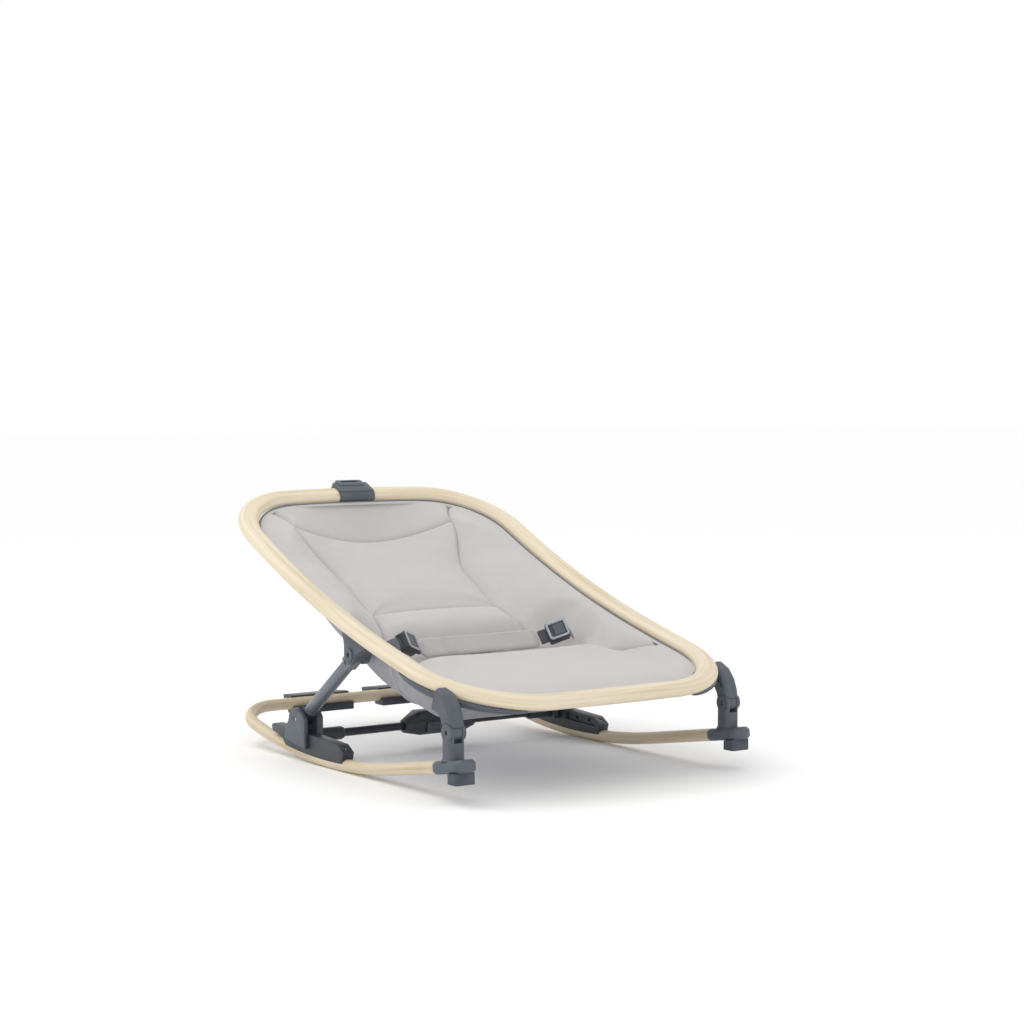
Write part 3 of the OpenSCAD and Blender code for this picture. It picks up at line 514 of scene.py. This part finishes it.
def rocker_line():
    corner_y = REAR_Y - REAR_CORNER_R
    y = np.linspace(RAIL_FRONT_Y, corner_y, 90, endpoint=False)
    splay = np.where(y < ROCK_Y, RAIL_SPLAY * ((ROCK_Y - y) / (ROCK_Y - RAIL_FRONT_Y)) ** 2, 0)
    rail = np.stack([RAIL_X + splay, y], -1)
    a = np.linspace(0, math.pi / 2, 24)
    bend = np.stack([RAIL_X - REAR_CORNER_R * (1 - np.cos(a)), corner_y + REAR_CORNER_R * np.sin(a)], -1)
    rear_x = np.linspace(RAIL_X - REAR_CORNER_R, 0, 20)[1:]
    half = np.concatenate([rail, bend, np.stack([rear_x, np.full_like(rear_x, REAR_Y)], -1)])
    plan = np.concatenate([half, half[:-1][::-1] * [-1, 1]])
    return np.stack([plan[:, 0], plan[:, 1] + PLAN_SHIFT, rail_height(plan[:, 1])], -1) * MM


line = rocker_line()
rocker = sweep("rocker_tube", line, np.tile([0, 0, 1.0], (len(line), 1)), (RAIL_R * MM, RAIL_R * MM),
               WOOD_LOW, "base", 32, False, (1, math.pi * RAIL_R * MM))
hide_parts("rocker_frame")

# ---------------------------------------------------------------- CAD parts that show as they are
FINISH = {
    "slate_plastic": SLATE, "dark_plastic": CHARCOAL, "foot_rubber": RUBBER, "strut_tube": STRUT,
    "bar_tube": BAR, "steel": STEEL,
}
EDGE_ROUND, PIN_ROUND = 0.0007, 0.0003    # metres


def dress(node_name, material, edge=EDGE_ROUND):
    """A better material, rounded edges and smooth shading on a CAD part."""
    part = frame["nodes"][node_name]
    part.data.materials.clear()
    part.data.materials.append(material)
    for p in part.data.polygons:
        p.use_smooth = True
        p.material_index = 0
    weld = part.modifiers.new("weld", "WELD")
    weld.merge_threshold = 0.00001
    bevel = part.modifiers.new("edge_round", "BEVEL")
    bevel.width = edge
    bevel.segments = 2
    bevel.limit_method = "ANGLE"
    bevel.angle_limit = math.radians(32)
    bevel.use_clamp_overlap = True
    bevel.harden_normals = True


for row in frame["record"]["subparts"]:
    slot_name = row["material_slot"]
    if slot_name in FINISH:
        dress(row["node"], FINISH[slot_name], PIN_ROUND if slot_name == "steel" else EDGE_ROUND)

# ---------------------------------------------------------------- soft goods
def settle(piece, pinned, pressure, cap, frames=14):
    """Inflates a closed piece with its seams held, and keeps each point within cap of its place."""
    start = np.array([v.co for v in piece.data.vertices], float)
    group = piece.vertex_groups.new(name="seam")
    group.add([int(i) for i in pinned], 1.0, "REPLACE")
    cloth = piece.modifiers.new("cloth", "CLOTH")
    cloth.settings.quality = 4
    cloth.settings.mass = 0.25
    cloth.settings.tension_stiffness = 12
    cloth.settings.compression_stiffness = 12
    cloth.settings.bending_stiffness = 0.6
    cloth.settings.use_pressure = True
    cloth.settings.uniform_pressure_force = pressure
    cloth.settings.vertex_group_mass = "seam"
    cloth.settings.effector_weights.gravity = 0
    cloth.collision_settings.use_collision = False
    for f in range(1, frames + 1):
        scene.frame_set(f)
    made = piece.evaluated_get(bpy.context.evaluated_depsgraph_get())
    moved = np.array([v.co for v in made.data.vertices], float)
    piece.modifiers.remove(cloth)
    step = moved - start
    far = np.linalg.norm(step, axis=1)
    step *= (np.minimum(far, cap) / np.maximum(far, 1e-9))[:, None]
    for v, co in zip(piece.data.vertices, start + step):
        v.co = co
    piece.vertex_groups.clear()
    scene.frame_set(1)


def wrinkle(x, s, scale, seed):
    """A few soft creases as a smooth field."""
    return (np.sin(x / scale + 1.7 * np.sin(s / (scale * 1.9) + seed)) *
            np.sin(s / (scale * 1.3) + seed * 2.1 + 0.8 * np.sin(x / (scale * 1.4))))


COVER_EDGE = RING_R + 1.6      # the cover tucks in under its piping


def edge_w(s):
    return half_width(s, COVER_EDGE)


def seam_x(s):
    return smooth_table(s, SEAM_X)


def crest_bend(x):
    """The crest seam curves forward where the seat rises to the ring."""
    return -80 * np.clip((np.abs(x) - 128) / 64, 0, 1) ** 1.7


def pad(name, node, x1, x2, s1, s2, seams, nu=56, nv=50, crown=4.0, crease=6.5, puff=30.0, wrinkles=0.3,
        seed=1.0, bow=0.0, bow_at=(1, 1), crest_at=(0, 0), rear_drop=0.0, crest_rise=0.0, pressure=1.5):
    """One padded panel of the cover, crowned in the middle. seams says which of its edges, in the order
    -X, +X, foot and head, are sewn down; the others tuck in along the ring."""
    u = 0.5 - 0.5 * np.cos(math.pi * np.linspace(0, 1, nu))
    v = 0.5 - 0.5 * np.cos(math.pi * np.linspace(0, 1, nv))
    uu, vv = np.meshgrid(u, v)
    s = s1 + (s2 - s1) * vv
    x = x1(s) + (x2(s) - x1(s)) * uu
    s = s + bow * np.clip(1 - (x / 104.0) ** 2, -0.5, 1) * (bow_at[0] * (1 - vv) + bow_at[1] * vv)
    far = [x - x1(s), x2(s) - x, (s2 - s1) * vv, (s2 - s1) * (1 - vv)]
    s = s + crest_bend(x) * (crest_at[0] * (1 - vv) + crest_at[1] * vv)
    valley, fill = np.zeros_like(x), np.ones_like(x)
    for sewn, d in zip(seams, far):
        d = np.maximum(d, 0)
        if sewn:
            valley = np.maximum(valley, np.exp(-d / 4.0))
        fill = fill * (1 - np.exp(-(d / puff) ** 1.5))
    depth = seat_depth(x, s) + crease * valley - crown * fill
    depth = depth + rear_drop * np.exp(-(far[3] / 9.0) ** 1.6)
    depth = depth - crest_rise * np.exp(-((far[3] - 14) / 34.0) ** 2) * (1 - ease((np.abs(x) - 110) / 60))
    near_seam = np.exp(-((fill - 0.4) / 0.25) ** 2)
    depth = depth - wrinkles * near_seam * wrinkle(x, s, 8.0, seed)
    upper = surf(x, s, depth)
    lower = surf(x, s, np.maximum(pad_under(x, s), depth + 1.5))
    piece, rim, count = box_grid(name, upper, lower, COVER, None)
    settle(piece, list(rim) + list(range(count, 2 * count)), pressure, 0.002)
    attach(piece, "seat")
    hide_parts(node)
    return piece


S_END = HALF_LEN - COVER_EDGE
head_s = np.linspace(SEAM_HEAD, S_END, 400)
SEAM_TOP = head_s[np.argmax(seam_x(head_s) > edge_w(head_s) - 1)]


def head_seam(s):
    return np.minimum(seam_x(s), edge_w(s))


pad("head_crescent", "head_pad", lambda s: -head_seam(s), head_seam, SEAM_HEAD, S_END, (1, 1, 1, 0), 72, 40,
    4.0, seed=2.2, puff=20)
pad("back_cushion", "back_pad", lambda s: -seam_x(s), seam_x, SEAM_LUMBAR, SEAM_HEAD, (1, 1, 1, 1), 60, 60,
    5.0, seed=0.4, bow=6.0, bow_at=(1, 0))
pad("lumbar_cushion", "lumbar_pad", lambda s: -seam_x(s), seam_x, SEAM_HOLLOW, SEAM_LUMBAR, (1, 1, 1, 1),
    60, 36, 8.0, seed=3.1, bow=6.0, bow_at=(0, 1), puff=18)
pad("side_bolster_left", "bolster_left", lambda s: -edge_w(s), lambda s: -head_seam(s), SEAM_CREST, SEAM_TOP,
    (0, 1, 1, 0), 40, 110, 6.0, seed=1.3, crest_at=(1, 0))
pad("side_bolster_right", "bolster_right", head_seam, edge_w, SEAM_CREST, SEAM_TOP, (1, 0, 1, 0), 40, 110,
    6.0, seed=2.6, crest_at=(1, 0))
pad("hollow_cushion", "hollow_pad", lambda s: -seam_x(s), seam_x, SEAM_CREST, SEAM_HOLLOW, (1, 1, 1, 1),
    50, 30, 1.5, seed=4.4, wrinkles=0.6)
pad("seat_cushion", "seat_pad", lambda s: -edge_w(s), edge_w, -S_END, SEAM_CREST, (0, 0, 0, 0), 80, 70,
    6.0, seed=5.2, wrinkles=0.25, crest_at=(0, 1), rear_drop=10.0, puff=24, crest_rise=6.0)


def stitch_row(name, line, ups, pitch=0.0034, length=0.0022, radius=0.00035, material=THREAD, body="seat"):
    """Short stitches along a line."""
    seg = np.linalg.norm(np.diff(line, axis=0), axis=1)
    run = np.concatenate([[0], np.cumsum(seg)])
    verts, faces = [], []
    for start in np.arange(0, run[-1] - length, pitch):
        ends = [np.array([np.interp(t, run, line[:, k]) for k in range(3)]) for t in (start, start + length)]
        up = np.array([np.interp(start, run, ups[:, k]) for k in range(3)])
        way = ends[1] - ends[0]
        side = np.cross(way, up)
        side /= max(np.linalg.norm(side), 1e-9)
        base = len(verts)
        for t, r in ((0, 0.4), (0.3, 1.0), (0.7, 1.0), (1, 0.4)):
            c = ends[0] + way * t + up * (0.0002 if 0 < t < 1 else -0.0002)
            for k in range(5):
                a = 2 * math.pi * k / 5
                verts.append(c + (side * math.cos(a) + up * math.sin(a)) * radius * r)
        for i in range(3):
            for k in range(5):
                faces.append((base + i * 5 + k, base + i * 5 + (k + 1) % 5,
                              base + (i + 1) * 5 + (k + 1) % 5, base + (i + 1) * 5 + k))
        faces += [tuple(base + k for k in reversed(range(5))), tuple(base + 15 + k for k in range(5))]
    piece = outward(new_piece(name, verts, faces, material, body))
    return piece


# Hanging shell under the seat, with its piped seams
def hanging_shell():
    tv = np.linspace(0, 1, 90)
    s = -(HALF_LEN - EDGE_IN) * np.cos(math.pi * tv)
    u = np.sin(np.linspace(-1, 1, 72) * math.pi / 2)
    ss, uu = np.meshgrid(s, u, indexing="ij")
    x = half_width(ss, EDGE_IN) * uu
    depth = sling_over(x, ss)
    sag = 0.8 * wrinkle(x, ss, 17.0, 0.9) * (1 - np.abs(uu) ** 3)
    piece, _, _ = box_grid("under_shell", surf(x, ss, depth + sag), surf(x, ss, depth + SLING_T + sag),
                                 SLING, "seat")
    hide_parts("seat_sling")
    return piece


shell = hanging_shell()


def shell_seam(name, x, s, radius=PIPING_R, material=PALE_PIPING):
    """Piping on the outside of the hanging shell."""
    line = surf(x, s, sling_over(x, s) + SLING_T + radius * 0.3)
    piece = sweep(name, line, surf_up(s), (radius * MM, radius * MM), material, "seat", 10)


SHELL_SEAMS = (-112.0, 118.0)    # where the two seams cross, along the ring's surface
across = np.sin(np.linspace(-1, 1, 80) * math.pi / 2) * 0.995
for k, s_at in enumerate(SHELL_SEAMS):
    s_line = np.full_like(across, s_at)
    shell_seam(f"shell_piping_{k + 1}", across * half_width(s_line, EDGE_IN), s_line)

# ---------------------------------------------------------------- belt and buckles
BELT_C, BELT_TILT, BELT_HALF, BELT_W = (297.0, 154.0), math.radians(52), 98.0, 29.0


def belt_points(x, w, n):
    """Points on the belt's own plane: x across, w up the belt, n out of it, in metres in the row frame."""
    x, w, n = np.broadcast_arrays(np.asarray(x, float), np.asarray(w, float), np.asarray(n, float))
    y = BELT_C[0] + w * math.cos(BELT_TILT) - n * math.sin(BELT_TILT)
    z = BELT_C[1] + w * math.sin(BELT_TILT) + n * math.cos(BELT_TILT)
    return np.stack([x, y + PLAN_SHIFT, z], -1) * MM


def belt_outline_scale(u):
    """The panel narrows a little and rounds off at its ends."""
    a = np.abs(u)
    return np.where(a > 0.9, np.sqrt(np.clip(1 - ((a - 0.9) / 0.1) ** 2, 0.0, 1)) * 0.75 + 0.25, 1)


def belt_panel():
    u, w = np.linspace(-1, 1, 90), np.linspace(-1, 1, 22)
    u = np.sin(u * math.pi / 2)
    uu, ww = np.meshgrid(u, w)
    x = uu * BELT_HALF
    across_w = ww * (BELT_W / 2) * belt_outline_scale(uu)
    fill = np.clip((1 - np.abs(uu) ** 16) * (1 - np.abs(ww) ** 6), 0, 1) ** 0.5
    ribs = 0.25 * np.cos(x / 14.0) * (1 - np.abs(ww) ** 2)
    piece, _, _ = box_grid("belt_panel_pad", belt_points(x, across_w, 0.6 + 3.0 * fill + ribs * fill),
                           belt_points(x, across_w, -0.6 - 2.8 * fill), BELT, "seat")
    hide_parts("belt_panel")


belt_panel()
loop_u = np.concatenate([np.linspace(-0.93, 0.93, 60), np.full(12, 0.93), np.linspace(0.93, -0.93, 60),
                         np.full(12, -0.93)])
loop_w = np.concatenate([np.full(60, -0.72), np.linspace(-0.72, 0.72, 12), np.full(60, 0.72),
                         np.linspace(0.72, -0.72, 12)])
line = belt_points(loop_u * BELT_HALF, loop_w * BELT_W / 2, 3.25)
belt_up = belt_points(0, 0, 1) - belt_points(0, 0, 0)
row = stitch_row("belt_stitching", line, np.tile(belt_up / np.linalg.norm(belt_up), (len(line), 1)))


def strap(name, points, width, thick, material, body, ups):
    """A flat webbing strap along a line."""
    piece = sweep(name, points, ups, (width / 2 * MM, thick / 2 * MM), material, body, 16)
    return piece


crotch = strap("crotch_webbing", belt_points(0 * np.linspace(0, 1, 12), np.linspace(-13.0, 10.0, 12), -5.4),
               36, 2.2, BELT, "seat", np.tile(belt_up / np.linalg.norm(belt_up), (12, 1)))
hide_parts("crotch_strap")

TONGUE_X, BUCKLE_TILT = BELT_HALF + 1, math.radians(32)
SOCKET_X, SOCKET_LEN, SOCKET_T = 13.0, 30.0, 15.0
STRAP_W, STRAP_T, STRAP_OUT, STRAP_DROP = 19, 1.6, 9.0, 22.0


def buckle_points(sign, x, w, n):
    """Points on the turned-up buckle: x out from the belt's end, w up the belt, n out of its face."""
    x, w, n = np.broadcast_arrays(np.asarray(x, float), np.asarray(w, float), np.asarray(n, float))
    return belt_points(sign * (TONGUE_X + x * math.cos(BUCKLE_TILT) - n * math.sin(BUCKLE_TILT)), w,
                       x * math.sin(BUCKLE_TILT) + n * math.cos(BUCKLE_TILT))


def rounded_loop(cx, cw, hx, hw, r, count=8):
    """Corner-rounded rectangle as [x, w] points."""
    points = []
    for k, (sx, sw) in enumerate(((1, 1), (-1, 1), (-1, -1), (1, -1))):
        for a in np.linspace(0, math.pi / 2, count) + k * math.pi / 2:
            points.append((cx + sx * (hx - r) + r * math.cos(a), cw + sw * (hw - r) + r * math.sin(a)))
    return np.array(points)


for sign, word in ((-1, "left"), (1, "right")):
    loop = rounded_loop(SOCKET_X + 15.5, 0, 12.8, 11.4, 3.0)
    line = buckle_points(sign, loop[:, 0], loop[:, 1], SOCKET_T / 2 + 0.3)
    face = buckle_points(sign, 0, 0, 1) - buckle_points(sign, 0, 0, 0)
    face /= np.linalg.norm(face)
    bezel = sweep("buckle_bezel_" + word, line, np.tile(face, (len(line), 1)), (1.7 * MM, 1.2 * MM),
                  SLATE_PALE, "buckle_" + word, 10, True)
    t = np.linspace(0, 1, 26)    # the strap leaves the socket and drops into the bolster
    line = buckle_points(sign, SOCKET_X + SOCKET_LEN - 3.0 + STRAP_OUT * t, 0 * t,
                         -2.8 - STRAP_DROP * t ** 1.5)
    strap("side_strap_" + word, line, STRAP_W, STRAP_T, WEBBING, "seat",
          np.tile(face, (len(t), 1)))
